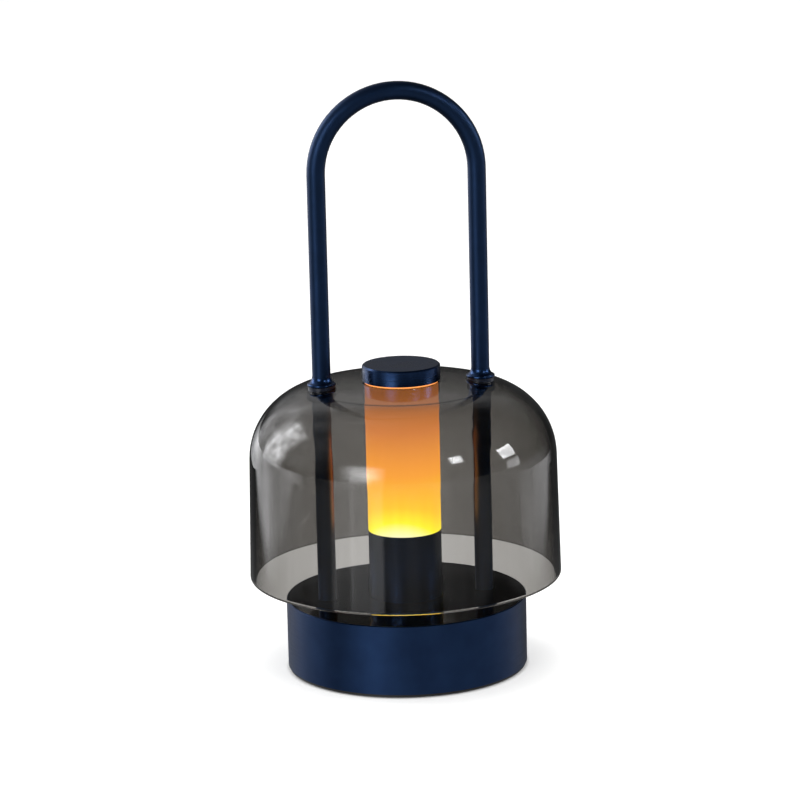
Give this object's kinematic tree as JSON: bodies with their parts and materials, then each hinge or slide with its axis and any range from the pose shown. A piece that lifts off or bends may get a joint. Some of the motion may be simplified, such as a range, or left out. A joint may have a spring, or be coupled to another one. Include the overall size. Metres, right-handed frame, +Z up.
{
  "type": "lantern table lamp",
  "caption": "Portable lantern table lamp: round drum base, clear smoked glass bell shade round a lit column, and a bent tube handle whose legs clamp the glass.",
  "frame": {"origin": "middle of the footprint, on the surface that the lamp stands on", "axes": "+Z up; the handle's legs stand on the X axis; the front is at -Y; the charging port and the button are at +Y"},
  "size_m": [0.171, 0.171, 0.3235],
  "materials": {
    "navy_aluminium": "satin, anodised dark navy",
    "gloss_black": "polished",
    "black_abs": "fine moulded grain",
    "black_rubber": "matt",
    "zinc_steel": "zinc plated",
    "nickel_steel": "nickel plated",
    "brass": "turned",
    "cell_wrap": "shrink-sleeved steel can",
    "circuit_board": "solder mask",
    "component_black": "moulded",
    "lead_cover": "extruded",
    "bare_aluminium": "turned, uncoated",
    "white_board": "white solder mask on a metal core",
    "light_emitter": "yellow phosphor",
    "amber_acrylic": "frosted, lit from inside",
    "smoked_glass": "blown and fire polished"
  },
  "bodies": {
    "lamp": {"base_housing": "navy_aluminium", "top_plate": "gloss_black", "bottom_cover": "black_abs", "foot_ring": "black_rubber", "ballast_plate": "zinc_steel", "cover_screws": "zinc_steel", "battery_holder": "black_abs", "battery_cells": "cell_wrap", "control_board": "circuit_board", "board_components": "component_black", "usb_c_socket": "nickel_steel", "push_switch": "component_black", "led_lead": "lead_cover", "battery_lead": "lead_cover", "column_sleeve": "navy_aluminium", "column_screws": "zinc_steel", "heat_sink": "bare_aluminium", "led_board": "white_board", "led_emitters": "light_emitter", "diffuser_tube": "amber_acrylic", "cap": "navy_aluminium", "cap_seal": "black_rubber", "glass_shade": "smoked_glass", "upper_collars": "navy_aluminium", "clamp_rings": "navy_aluminium", "grub_screws": "zinc_steel", "upper_gaskets": "black_rubber", "lower_gaskets": "black_rubber", "handle": "navy_aluminium", "handle_inserts": "brass", "handle_washers": "zinc_steel", "handle_screws": "zinc_steel"},
    "button": {"power_button": "navy_aluminium", "switch_plunger": "component_black"}
  },
  "joints": [
    {"name": "button_press", "type": "slide", "parent": "lamp", "child": "button", "axis": [0, -1, 0], "range_m": [0, 0.0008], "stiffness_N_per_m": 1200, "springref_m": -0.0004}
  ]
}
